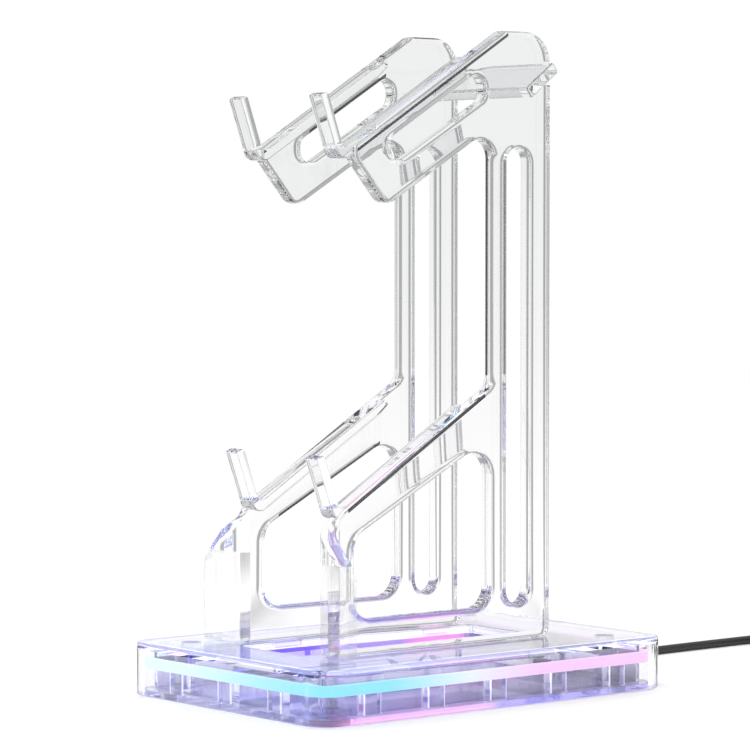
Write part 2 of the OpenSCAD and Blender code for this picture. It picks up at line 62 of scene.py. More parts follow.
# The free lead: its route, six and a half turns inside the coil's solid, and the tail to the plug
leadSet = {
    "diameter": 4.0,
    "route": [[-20, 118, 9], [-20, 122, 8.9], [-20, 127, 8.4], [-20, 132, 7.5], [-20, 137, 6.3], [-20, 142, 5],
              [-20.1, 147, 3.8], [-20.2, 152, 2.9], [-20.4, 158, 2.3], [-20.7, 165, 2.1], [-21, 175, 2.1],
              [-21.6, 190, 2.1], [-22, 205, 2.1], [-22.2, 220, 2.1], [-22.3, 235, 2.1], [-22.3, 250, 2.1]],
    "coilMiddle": [0.7, 276], "coilRadius": 23.0,
    "turns": [[4.15, 2.1], [0, 2.1], [-4.15, 2.1], [-2.1, 5.7], [2.1, 5.7], [0, 9.3], [3.9, 9.3]],  # out, up
    "tail": [[27.4, 268, 9.2], [27.3, 262.5, 8.5], [27.0, 257, 7.2], [26.7, 252, 5.6], [26.5, 246.2, 4.2]],
    "stepsPerTurn": 24, "lastTurn": 0.5, "coilStart": -0.14, "glideFrom": 0.66,
}


def coilPoints(leadSet):
    # angle runs on steadily; radius and height glide from one turn's place in the bundle to the next over the
    # last third of the turn, as 3t^2 - 2t^3
    places = np.array(leadSet["turns"], float)
    count = len(places)
    steps = leadSet["stepsPerTurn"]
    angle = np.arange(int((count - 1 + leadSet["lastTurn"]) * steps)) / steps
    turnNo = np.minimum(angle.astype(int), count - 1)
    t = np.clip((angle - turnNo - leadSet["glideFrom"]) / (1 - leadSet["glideFrom"]), 0, 1)
    t = t * t * (3 - 2 * t)
    nextNo = np.minimum(turnNo + 1, count - 1)
    place = places[turnNo] * (1 - t)[:, None] + places[nextNo] * t[:, None]
    return angle * 2 * pi, leadSet["coilRadius"] + place[:, 0], place[:, 1]


def leadPath(leadSet):
    angle, radius, height = coilPoints(leadSet)
    start = pi + leadSet["coilStart"]
    cx, cy = leadSet["coilMiddle"]
    coil = np.stack([cx + radius * np.cos(start - angle), cy + radius * np.sin(start - angle), height], 1)
    return np.vstack([leadSet["route"], coil, leadSet["tail"]]) * mm


path = leadPath(leadSet)
leadLength = float(np.linalg.norm(np.diff(path, axis=0), axis=1).sum())
print("lead", round(leadLength, 3))


def tubeMesh(path, radius, sides=12):
    # rings of points place + radius (side cos a + up sin a), with side level and square to the path and up
    # square to both, and a flat face over each end
    heading = np.gradient(path, axis=0)
    heading /= np.linalg.norm(heading, axis=1)[:, None]
    side = np.cross(heading, [0, 0, 1.0])
    side /= np.linalg.norm(side, axis=1)[:, None]
    up = np.cross(side, heading)
    angle = 2 * pi * np.arange(sides) / sides
    cos, sin = np.cos(angle)[None, :, None], np.sin(angle)[None, :, None]
    rings = path[:, None] + radius * (cos * side[:, None] + sin * up[:, None])
    k, j = np.arange(len(path) - 1)[:, None] * sides, np.arange(sides)[None, :]
    nxt = (j + 1) % sides
    quads = np.stack([k + j, k + nxt, k + sides + nxt, k + sides + j], -1).reshape(-1, 4).tolist()
    ends = [list(range(sides))[::-1], list(range((len(path) - 1) * sides, len(path) * sides))]
    mesh = bpy.data.meshes.new("lead")
    mesh.from_pydata(rings.reshape(-1, 3).tolist(), [], quads + ends)
    mesh.polygons.foreach_set("use_smooth", np.arange(len(mesh.polygons)) < len(quads))
    return mesh


lead = bpy.data.objects.new("lead", tubeMesh(path, leadSet["diameter"] * mm / 2))
scene.collection.objects.link(lead)
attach(lead, "root")
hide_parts("cable", "cable_coil")
print("lead laid")


class Wire:  # a shader socket that takes part in sums
    def __init__(self, tree, socket=None):
        self.tree, self.socket = tree, socket

    def make(self, kind, settings={}, values={}, out=0):
        node = self.tree.nodes.new("ShaderNode" + kind)
        for name, value in settings.items():
            if name == "stops":
                ramp = node.color_ramp
                for k, (place, colour) in enumerate(value):
                    stop = ramp.elements[k] if k < 2 else ramp.elements.new(place)
                    stop.position, stop.color = place, (*colour, 1)
            else:
                setattr(node, name, value)
        for name, value in values.items():
            if isinstance(value, Wire):
                self.tree.links.new(value.socket, node.inputs[name])
            else:
                node.inputs[name].default_value = value
        return Wire(self.tree, node.outputs[out] if len(node.outputs) else None)

    def sum(self, operation, *terms, clamp=False):
        return self.make("Math", {"operation": operation, "use_clamp": clamp}, dict(enumerate(terms)))

    def __add__(self, other): return self.sum("ADD", self, other)
    def __radd__(self, other): return self.sum("ADD", other, self)
    def __sub__(self, other): return self.sum("SUBTRACT", self, other)
    def __rsub__(self, other): return self.sum("SUBTRACT", other, self)
    def __mul__(self, other): return self.sum("MULTIPLY", self, other)

    def between(self, low, high):  # 0 at low, 1 at high, smooth
        return self.make("MapRange", {"interpolation_type": "SMOOTHSTEP"}, {0: self, 1: low, 2: high})

    def mix(self, amount, first, second):
        return self.make("Mix", {"data_type": "RGBA"}, {0: amount, 6: first, 7: second}, 2)


def rgba(*colour):
    return (*colour, 1)


# The world is white for the camera, with dark flags between white panels for gloss and clear plastic
studioSet = {
    "level": 1.0, "flagTurn": 5.3, "flagDepth": 0.6, "flagEdge": (-0.75, 0.15), "flagTop": (0.5, 0.7),
    "floorFlags": (0.03, 0.14),
    "skyLow": (0.22, 0.34), "skyHigh": (0.45, 0.6), "skyDepth": 0.6,
}

world = bpy.data.worlds.new("studio")
scene.world = world
world.use_nodes = True
world.node_tree.nodes.clear()
w = Wire(world.node_tree)


def flagsAt(m, x, y):
    # dark flags stand between white panels every 45 degrees round the object; 1 on a flag
    turn = m.sum("ARCTAN2", y, x) + radians(45 - studioSet["flagTurn"])
    return 1 - m.sum("COSINE", turn * 8).between(*studioSet["flagEdge"])


def inPlastic(m):  # 1 for light on its way through clear plastic or off a gloss
    return m.sum("MAXIMUM", m.make("LightPath", {}, {}, 3), m.make("LightPath", {}, {}, 6))


direction = w.make("TexCoord")
dx, dy, dz = [w.make("SeparateXYZ", {}, {0: direction}, k) for k in range(3)]
flags = flagsAt(w, dx, dy) * (1 - dz.between(*studioSet["flagTop"])) * studioSet["flagDepth"]
sky = dz.between(*studioSet["skyLow"]) * (1 - dz.between(*studioSet["skyHigh"])) * studioSet["skyDepth"]
strength = (1 - w.sum("MAXIMUM", flags, sky) * inPlastic(w)) * studioSet["level"]
background = w.make("Background", {}, {"Color": rgba(1, 1, 1), "Strength": strength})
w.make("OutputWorld", {}, {0: background})


floorMesh = bpy.data.meshes.new("floor")
floorMesh.from_pydata([(-6, -6, 0), (6, -6, 0), (6, 6, 0), (-6, 6, 0)], [], [(0, 1, 2, 3)])
floor = bpy.data.objects.new("floor", floorMesh)
scene.collection.objects.link(floor)


def place(m):  # x, y and z across the object, in metres
    spot = m.make("TexCoord", {}, {}, 3)
    return [m.make("SeparateXYZ", {}, {0: spot}, k) for k in range(3)]


def finish(name, values, mixShadow=False, extra=None, fade=None):
    material = bpy.data.materials.new(name)
    material.use_nodes = True
    material.node_tree.nodes.clear()
    m = Wire(material.node_tree)
    if extra:
        values = {**values, **extra(m)}
    shader = m.make("BsdfPrincipled", {}, values)
    if mixShadow:  # clear plastic lets the lamps' light through to what lies behind
        through = m.make("BsdfTransparent")
        share = m.make("LightPath", {}, {}, 1)
        if fade:
            share = m.sum("MAXIMUM", share, fade(m))
        shader = m.make("MixShader", {}, {0: share, 1: shader, 2: through})
    m.make("OutputMaterial", {}, {0: shader})
    return material


def dress(piece, material):
    piece.data.materials.clear()
    piece.data.materials.append(material)


def floorTone(m):  # the flags stand on the floor too, clear of the object
    x, y, _ = place(m)
    away = (x * x + y * y).between(*studioSet["floorFlags"])
    dark = flagsAt(m, x, y) * inPlastic(m) * away * studioSet["flagDepth"]
    return {"Base Color": m.mix(dark, rgba(1, 1, 1), rgba(0, 0, 0))}


dress(floor, finish("floorWhite", {"Roughness": 1.0, "Specular IOR Level": 0.0}, extra=floorTone))


lampSet = {"place": (0.2, -1.6, 1.7), "target": (0, 0, 0.1), "size": (0.9, 0.6), "watts": 10}

light = bpy.data.lights.new("keyLamp", "AREA")
light.shape, light.energy = "RECTANGLE", lampSet["watts"]
light.size, light.size_y = lampSet["size"]
lamp = bpy.data.objects.new("keyLamp", light)
scene.collection.objects.link(lamp)
lamp.location = lampSet["place"]
lamp.rotation_euler = (Vector(lampSet["target"]) - lamp.location).to_track_quat("-Z", "Y").to_euler()
print("studio set")


def unit(v):
    return v / np.linalg.norm(v)


def outlinePoints(corners, inset, steps):
    # each corner is an arc about a fixed middle, swept from one edge's normal to the next; insetting the whole
    # outline shortens an outer corner's radius and lengthens an inner one's
    points = []
    count = len(corners)
    for i in range(count):
        before, here, after = (np.array(corners[k % count][:2], float) for k in (i - 1, i, i + 1))
        a, b = unit(here - before), unit(after - here)
        n1, n2 = np.array([-a[1], a[0]]), np.array([-b[1], b[0]])
        s = np.sign(a[0] * b[1] - a[1] * b[0]) * corners[i][2]
        middle = here + s * (n1 + n2) / (1 + n1 @ n2)
        start = np.arctan2(n1[1], n1[0])
        sweep = np.arctan2(n1[0] * n2[1] - n1[1] * n2[0], n1 @ n2)
        t = start + sweep * np.linspace(0, 1, steps + 1)
        points.append(middle - (s - inset) * np.stack([np.cos(t), np.sin(t)], 1))
    return np.vstack(points)


def addStops(points, stops):
    # puts a point on every straight stretch where it crosses one of the stops, in order along the outline
    out = []
    for p, q in zip(points, np.roll(points, -1, axis=0)):
        out.append(p)
        inside = [s for s in stops if min(p[0], q[0]) + 1e-9 < s < max(p[0], q[0]) - 1e-9]
        for s in sorted(inside, reverse=bool(q[0] < p[0])):
            out.append(p + (q - p) * (s - p[0]) / (q[0] - p[0]))
    return np.array(out)


def plateMesh(outer, windows, low, high, edge, steps=10, rings=5, stops=(), bend=None):
    # walls: for each ring angle q from 0 to 90 degrees, the outline is inset by edge (1 - cos q) while it rises
    # toward the face by edge (1 - sin q); faces: the last rings' outlines, filled
    q = np.linspace(0, pi / 2, rings + 1)
    inset = edge * (1 - np.cos(q))
    near = edge * (1 - np.sin(q))
    levels = [(i, low + n) for i, n in zip(inset[::-1], near[::-1])]
    levels += [(i, high - n) for i, n in zip(inset, near)]
    verts, faces = [], []
    base = 0
    capLoops = []
    for which, corners in enumerate([outer] + windows):
        sign = 1 if which == 0 else -1
        cuts = stops if which == 0 else ()
        loops = [addStops(outlinePoints(corners, sign * i, steps), cuts) for i, _ in levels]
        n = len(loops[0])
        assert all(len(l) == n for l in loops), (which, [len(l) for l in loops])
        for loop, (_, x) in zip(loops, levels):
            verts.append(np.column_stack([np.full(n, x), loop]))
        k = np.arange(len(levels) - 1)[:, None] * n
        j = np.arange(n)[None, :]
        nxt = (j + 1) % n
        quads = base + np.stack([k + j, k + nxt, k + n + nxt, k + n + j], -1).reshape(-1, 4)
        faces.append(quads if sign > 0 else quads[:, ::-1])
        capLoops.append((base, base + (len(levels) - 1) * n, n, loops[0]))
        base += n * len(levels)
    flat = np.vstack([c[3] for c in capLoops])
    starts = np.cumsum([0] + [c[2] for c in capLoops])
    edges = [(s + a, s + (a + 1) % c[2]) for s, c in zip(starts, capLoops) for a in range(c[2])]
    for stop in stops:  # lines across the plate where it bends
        on = np.where(np.abs(flat[: capLoops[0][2], 0] - stop) < 1e-6)[0]
        if len(on) == 2:
            edges.append((int(on[0]), int(on[1])))
    outlines = [list(range(s, s + c[2])) for s, c in zip(starts, capLoops)]
    _, _, tris, fromVerts, _, fromFaces = delaunay_2d_cdt([Vector(p) for p in flat], edges, outlines, 0, 1e-7)
    where = [o[0] if o else -1 for o in fromVerts]
    holes = set(range(1, len(capLoops)))
    kept = [t for t, o in zip(tris, fromFaces) if 0 in o and not holes & set(o)]
    lowIndex = np.concatenate([c[0] + np.arange(c[2]) for c in capLoops])
    highIndex = np.concatenate([c[1] + np.arange(c[2]) for c in capLoops])
    tri = np.array([[where[v] for v in t] for t in kept if len(t) == 3 and all(where[v] >= 0 for v in t)])
    verts = np.vstack(verts)
    if bend is not None:
        verts = bend(verts)
    walls = [f.tolist() for block in faces for f in block]
    return verts * mm, walls + highIndex[tri].tolist() + lowIndex[tri][:, ::-1].tolist()


def makePiece(name, verts, faces):
    mesh = bpy.data.meshes.new(name)
    mesh.from_pydata([tuple(v) for v in verts], [], faces)
    mesh.validate()
    piece = bpy.data.objects.new(name, mesh)
    scene.collection.objects.link(piece)
    tidy = bmesh.new()
    tidy.from_mesh(mesh)
    bmesh.ops.remove_doubles(tidy, verts=tidy.verts, dist=1e-7)
    bmesh.ops.recalc_face_normals(tidy, faces=tidy.faces)
    tidy.to_mesh(mesh)
    tidy.free()
    return piece


def merge(piece, tools, operation="UNION"):
    for tool in tools:
        step = piece.modifiers.new(tool.name, "BOOLEAN")
        step.operation, step.object, step.solver = operation, tool, "MANIFOLD"
    bpy.context.view_layer.update()
    done = bpy.data.meshes.new_from_object(piece.evaluated_get(bpy.context.evaluated_depsgraph_get()))
    piece.modifiers.clear()
    old = piece.data
    piece.data = done
    bpy.data.meshes.remove(old)
    for tool in tools:
        bpy.data.objects.remove(tool)
    return piece


def smoothed(piece, sharpest=35):
    piece.data.polygons.foreach_set("use_smooth", np.ones(len(piece.data.polygons), bool))
    piece.data.set_sharp_from_angle(angle=radians(sharpest))
    even = piece.modifiers.new("evenShade", "WEIGHTED_NORMAL")
    even.keep_sharp = True
    even.weight = 60
    return piece


def ringAt(halfWide, halfDeep, radius, z, middle=(0, 0), steps=6):
    # four corner arcs of one radius, anticlockwise from the rear right corner, at one height
    angle = (np.arange(4)[:, None] + np.linspace(0, 1, steps + 1)[None, :]) * pi / 2
    cx = np.array([1, -1, -1, 1])[:, None] * (halfWide - radius)
    cy = np.array([1, 1, -1, -1])[:, None] * (halfDeep - radius)
    x, y = cx + radius * np.cos(angle) + middle[0], cy + radius * np.sin(angle) + middle[1]
    return np.stack([x.ravel(), y.ravel(), np.full(x.size, float(z))], 1)


def skin(name, rings, turns=None):
    # closed skin over a stack of rings of equally many points, with the first and last ring filled; turns is an
    # optional matrix for the finished points
    n = len(rings[0])
    verts = np.vstack(rings)
    if turns is not None:
        verts = verts @ np.array(turns).T
    k, j = np.arange(len(rings) - 1)[:, None] * n, np.arange(n)[None, :]
    nxt = (j + 1) % n
    quads = np.stack([k + j, k + nxt, k + n + nxt, k + n + j], -1).reshape(-1, 4).tolist()
    ends = [list(range(n))[::-1], list(range((len(rings) - 1) * n, len(rings) * n))]
    return makePiece(name, verts * mm, quads + ends)


def prism(name, wide, deep, radius, low, high, middle):
    return skin(name, [ringAt(wide / 2, deep / 2, radius, z, middle) for z in (low, high)])


frameSet = {
    "inner": 27.5, "outer": 35.5, "edge": 2.3, "baseTop": 24.5,
    "rear": 59, "height": 269.5, "columnFront": 25.3, "armSlope": 31.3,
    "armFront": -54, "armTop": 218, "armTip": 5.5, "armChin": 18, "armDeep": (37.5, 39),
    "lowerTop": 113.5, "lowerFront": -59.5, "bendY": -62, "bendRadius": 6, "footReach": 13.4, "footTop": 37.0,
    "hookWide": 9.7, "hookInset": 4.1, "hookThick": 4.2, "hookLong": 26, "hookLean": 19.5, "hookEdge": 1.0,
    "ledgeRear": 12, "ledgeThins": 7, "ledgeTail": 3.1, "upperHook": -57.5, "lowerHook": -59.7,
    "tongue": (4, 16), "tongueY": 42, "tongueDrop": 3,
}
plateMiddle = (frameSet["inner"] + frameSet["outer"]) / 2
windowSet = {  # ends along the plate, and how far the edges lie under the arm's top at both ends
    "upperEnds": (-33, 20), "upperTop": (9.5, 10), "upperLow": (22.5, 24),
    "lowerEnds": (-53.5, 23.5), "lowerTop": (15.5, 22.5), "sill": 15,
    "slotEnds": (33.25, 46.25), "slotLow": 15.5, "slotHigh": 218, "slotCorner": 6.45,
}
rise = np.tan(radians(frameSet["armSlope"]))


def upperLine(y):
    return frameSet["armTop"] + (y - frameSet["armFront"]) * rise


def lowerLine(y):
    return frameSet["lowerTop"] + (y - frameSet["columnFront"]) * rise


def lifted(corners):
    return [[y, z + frameSet["baseTop"], r] for y, z, r in corners]


bendLong = frameSet["bendRadius"] * pi / 2
footEnd = frameSet["bendY"] - bendLong - frameSet["footReach"]
armFront, armTop, columnFront = (frameSet[k] for k in ("armFront", "armTop", "columnFront"))
armRear = armFront + frameSet["armChin"]
frameOutline = lifted([
    [footEnd, 0, 3], [frameSet["rear"], 0, 4], [frameSet["rear"], frameSet["height"], 14],
    [armFront + (frameSet["height"] - armTop) / rise, frameSet["height"], 6],
    [armFront, armTop, 3.5], [armFront, armTop - frameSet["armTip"], 5],
    [armRear, upperLine(armRear) - frameSet["armDeep"][0], 7],
    [columnFront, upperLine(columnFront) - frameSet["armDeep"][1], 8], [columnFront, frameSet["lowerTop"], 9],
    [frameSet["lowerFront"], lowerLine(frameSet["lowerFront"]), 4], [footEnd, frameSet["footTop"], 9],
])


def windowCorners(ends, low, top, line, radii):  # anticlockwise from the front low corner
    front, rear = ends
    heights = (low[0], low[1], line(rear) - top[1], line(front) - top[0])
    return [[y, z, r] for y, z, r in zip((front, rear, rear, front), heights, radii)]


upperSill = [upperLine(y) - drop for y, drop in zip(windowSet["upperEnds"], windowSet["upperLow"])]
lowerSill, slotSill = ((windowSet[k], windowSet[k]) for k in ("sill", "slotLow"))
slotRadii = (windowSet["slotCorner"],) * 4
frameWindows = [lifted(w) for w in (
    windowCorners(windowSet["upperEnds"], upperSill, windowSet["upperTop"], upperLine, (5, 6, 5, 4)),
    windowCorners(windowSet["lowerEnds"], lowerSill, windowSet["lowerTop"], lowerLine, (9, 10, 10, 10)),
    windowCorners(windowSet["slotEnds"], slotSill, (0, 0), lambda y: windowSet["slotHigh"], slotRadii),
)]
bendStops = [frameSet["bendY"] - bendLong * k / 8 for k in range(9)]


def bendFoot(verts):
    # past the bend line, length along the plate turns into an angle about an upright axis, and after a quarter
    # turn it runs straight outward; the inner face lies on the outside of the bend
    x, y, z = verts.T
    along = np.maximum(frameSet["bendY"] - y, 0)
    angle = np.minimum(along / frameSet["bendRadius"], pi / 2)
    radius = frameSet["bendRadius"] - (x - plateMiddle)
    newX = plateMiddle + frameSet["bendRadius"] - radius * np.cos(angle) + np.maximum(along - bendLong, 0)
    newY = frameSet["bendY"] - radius * np.sin(angle)
    turned = along > 0
    return np.stack([np.where(turned, newX, x), np.where(turned, newY, y), z], 1)


def hookOutline(y0, z0):
    # ledge along the slope, lip leaning forward, both of one thickness, joined by round corners
    slope, lean = radians(frameSet["armSlope"]), radians(90 + frameSet["hookLean"])
    e1, e2 = np.array([np.cos(slope), np.sin(slope)]), np.array([np.cos(lean), np.sin(lean)])
    down, front = np.array([e1[1], -e1[0]]), np.array([-e2[1], e2[0]])
    origin = np.array([y0, z0])
    long = (frameSet["ledgeRear"] - y0) / np.cos(slope)
    t = frameSet["hookThick"]
    lipTop = origin + frameSet["hookLong"] * e2
    side = np.linalg.solve(np.column_stack([e1, -e2]), t * (front - down))
    heel = origin + t * down + side[0] * e1
    rear = origin + long * e1
    return [
        [*(rear - frameSet["ledgeThins"] * e1 + t * down), 9], [*(rear + frameSet["ledgeTail"] * down), 1.5],
        [*rear, 1.5], [*origin, 3], [*lipTop, 1.2], [*(lipTop + t * front), 1.2], [*heel, 5.2],
    ]


barSet = {
    "wide": 20, "thick": 5.5, "radius": 1.2, "edge": 0.7, "tilt": 37, "middle": (52.51, 272.8), "half": 36.5,
    "gap": 0.15, "mouth": (270.8, 281.3),
}


def barOutline(grow):
    # a rectangle of the bar's width and thickness, turned by its tilt
    a = radians(barSet["tilt"])
    along, up = np.array([np.cos(a), np.sin(a)]), np.array([-np.sin(a), np.cos(a)])
    w, t = barSet["wide"] / 2 + grow, barSet["thick"] / 2 + grow
    return [[*(np.array(barSet["middle"]) + sw * w * along + st * t * up), barSet["radius"] + grow]
            for sw, st in ((-1, -1), (1, -1), (1, 1), (-1, 1))]


def sideFrame(name):
    # the plate with its windows, then hooks and tongues joined on, then the crossbar's notch cut out. The hooks
    # stand a hair above the arm's edge, so that no two faces coincide
    verts, faces = plateMesh(frameOutline, frameWindows, frameSet["inner"], frameSet["outer"], frameSet["edge"],
                             stops=bendStops, bend=bendFoot)
    piece = makePiece(name, verts, faces)
    tools = []
    low = frameSet["inner"] - frameSet["hookInset"]
    for label, line in (("upperHook", upperLine), ("lowerHook", lowerLine)):
        y0 = frameSet[label]
        corners = hookOutline(y0, frameSet["baseTop"] + line(y0) + 0.02)
        mesh = plateMesh(corners, [], low, low + frameSet["hookWide"], frameSet["hookEdge"], steps=8, rings=4)
        tools.append(makePiece(label, *mesh))
    foot = frameSet["baseTop"] - frameSet["tongueDrop"]
    for y in (-frameSet["tongueY"], frameSet["tongueY"]):
        tools.append(prism("tongue", *frameSet["tongue"], 1.9, foot, frameSet["baseTop"] + 4, (plateMiddle, y)))
    merge(piece, tools)
    notch = makePiece("notch", *plateMesh(barOutline(barSet["gap"]), [], 20, 45, 0.3, steps=4, rings=1))
    mouth = prism("mouth", 12, 4, 0.3, *barSet["mouth"], (plateMiddle, frameSet["rear"]))
    return merge(piece, [notch, mouth], "DIFFERENCE")


rightFrame = sideFrame("rightFrame")
print("frame", len(rightFrame.data.vertices), len(rightFrame.data.polygons))
leftFrame = bpy.data.objects.new("leftFrame", rightFrame.data.copy())
scene.collection.objects.link(leftFrame)
leftFrame.data.transform(Matrix.Diagonal((-1, 1, 1, 1)))
leftFrame.data.flip_normals()
for piece, node in ((rightFrame, "right_frame"), (leftFrame, "left_frame")):
    smoothed(piece)
    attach(piece, "root")
    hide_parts(node)
barMesh = plateMesh(barOutline(0), [], -barSet["half"], barSet["half"], barSet["edge"], steps=5, rings=3)
crossbar = makePiece("crossbarPiece", *barMesh)
smoothed(crossbar)
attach(crossbar, "root")
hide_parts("crossbar")
print("side frames made")


# The base cover is one closed skin from the tray's floor, over the top, down the wall and back under the ceiling
coverSet = {
    "halfWide": 70, "halfDeep": 100, "corner": 13, "wall": 4.5, "top": 3.5, "edge": 1.4, "low": 1.0, "high": 24.5,
    "trayWide": 22, "trayDeep": 65, "trayY": -7, "trayDrop": 9, "trayWall": 2, "trayCorner": 3, "trayRound": 1.2,
    "soft": 0.8, "postX": 49, "postY": 79, "postWide": 9, "postLow": 6.2, "screwHole": 3, "holeTop": 15.2,
    "pocketGap": 0.3, "leadHole": 3.15, "leadAt": (-20, 9),
}


def coverRings(c):
    def outer(inset, z):
        return ringAt(c["halfWide"] - inset, c["halfDeep"] - inset, max(c["corner"] - inset, 0.5), z)

    def tray(grow, z):
        return ringAt(c["trayWide"] + grow, c["trayDeep"] + grow, c["trayCorner"] + grow, z, (0, c["trayY"]))

    q = np.linspace(0, pi / 2, 5)
    floorZ, soft, turn = c["high"] - c["trayDrop"], c["soft"], c["trayRound"]
    rings = [tray(-turn * (1 - np.sin(a)), floorZ + turn * (1 - np.cos(a))) for a in q]
    rings += [tray(soft * (1 - np.cos(a)), c["high"] - soft * (1 - np.sin(a))) for a in q]
    rings += [outer(c["edge"] * (1 - np.sin(a)), c["high"] - c["edge"] * (1 - np.cos(a))) for a in q]
    rings += [outer(soft * (1 - np.cos(a)), c["low"] + soft * (1 - np.sin(a))) for a in q]
    ceiling = c["high"] - c["top"]
    rings += [outer(c["wall"], c["low"]), outer(c["wall"], ceiling)]
    under = floorZ - c["trayWall"]
    rings += [tray(c["trayWall"], ceiling)] + [
        tray(c["trayWall"] - soft * (1 - np.cos(a)), under + soft * (1 - np.sin(a))) for a in q]
    return rings


cover = skin("coverPiece", coverRings(coverSet))
postX, postY, postWide, hole = (coverSet[k] for k in ("postX", "postY", "postWide", "screwHole"))
posts = [(x, y) for x in (-postX, postX) for y in (-postY, postY)]
ceiling = coverSet["high"] - coverSet["top"]
merge(cover, [prism("post", postWide, postWide, postWide / 2, coverSet["postLow"], ceiling + 1, p) for p in posts])
holes = [prism("hole", hole, hole, hole / 2, 5, coverSet["holeTop"], p) for p in posts]
gap = coverSet["pocketGap"]
wide, deep = (size + gap for size in frameSet["tongue"])
pocketLow = coverSet["high"] - frameSet["tongueDrop"] - gap
holes += [prism("pocket", wide, deep, 2.05, pocketLow, 26, (x, y))
          for x in (-plateMiddle, plateMiddle) for y in (-frameSet["tongueY"], frameSet["tongueY"])]
radius = coverSet["leadHole"]
tunnel = [ringAt(radius, radius, radius, z, coverSet["leadAt"]) for z in (-102, -94)]
holes.append(skin("leadHole", tunnel, [(1, 0, 0), (0, 0, -1), (0, 1, 0)]))
merge(cover, holes, "DIFFERENCE")
smoothed(cover)
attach(cover, "root")
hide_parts("base_cover")
print("cover made", len(cover.data.polygons))


clear = {"Roughness": 0.0, "IOR": 1.49, "Transmission Weight": 1.0}


# places and colours of the painted dark lines, painted glints and painted shade on the frames, and the feet's clear
# fade
lineSet = {
    "edgeHalf": 0.0006, "upperEdge": 0.0026, "upperEnds": (-0.0525, 0.033),
    "lowerEdge": 0.0011, "lowerEnds": (-0.0575, 0.020), "outerFrom": 0.0338, "leftInner": (-0.0290, -0.0265),
    "headX": (-0.0362, -0.0265), "headY": (0.032, 0.056), "headZ": 0.2932,
    "columnX": (0.0275, 0.0306), "columnY": (0.0245, 0.0275), "columnZ": (0.142, 0.246),
    "glintAt": 0.0325, "glintHalf": 0.0005, "glintDeep": 0.0004, "glintTrim": (0.002, 0.012),
    "windowFrom": -0.0021, "windowTo": -0.0006, "lowTrim": (7, 12), "highTrim": (4, 5),
    "footClear": 0.78, "footFrom": -0.0625, "footTop": 0.0645,
    "shadeHeight": (0.02, 0.28), "lowShadeTone": (0.97, 0.97, 0.975), "highShadeTone": (0.86, 0.865, 0.87),
    "lineTone": (0.01, 0.01, 0.012), "underGlint": 0.8,
    "upperStops": [(0.0, (0.02, 0.25, 0.30)), (1.0, (0.05, 0.10, 0.30)), (0.35, (0.35, 0.33, 0.60)),
                   (0.8, (0.30, 0.33, 0.60))],
    "lowerStops": [(0.0, (0.65, 0.22, 0.38)), (1.0, (0.0, 0.30, 0.55)), (0.45, (0.45, 0.10, 0.60)),
                   (0.75, (0.20, 0.12, 0.60))],
}


def below(m, y, z, y0, z0, slope):  # how far a place lies under a sloping line through y0, z0, square to it
    return ((y - y0) * np.tan(slope) + z0 - z) * np.cos(slope)


def within(m, value, low, high):  # 1 from low to high, else 0
    return m.sum("GREATER_THAN", value, low) * m.sum("LESS_THAN", value, high)


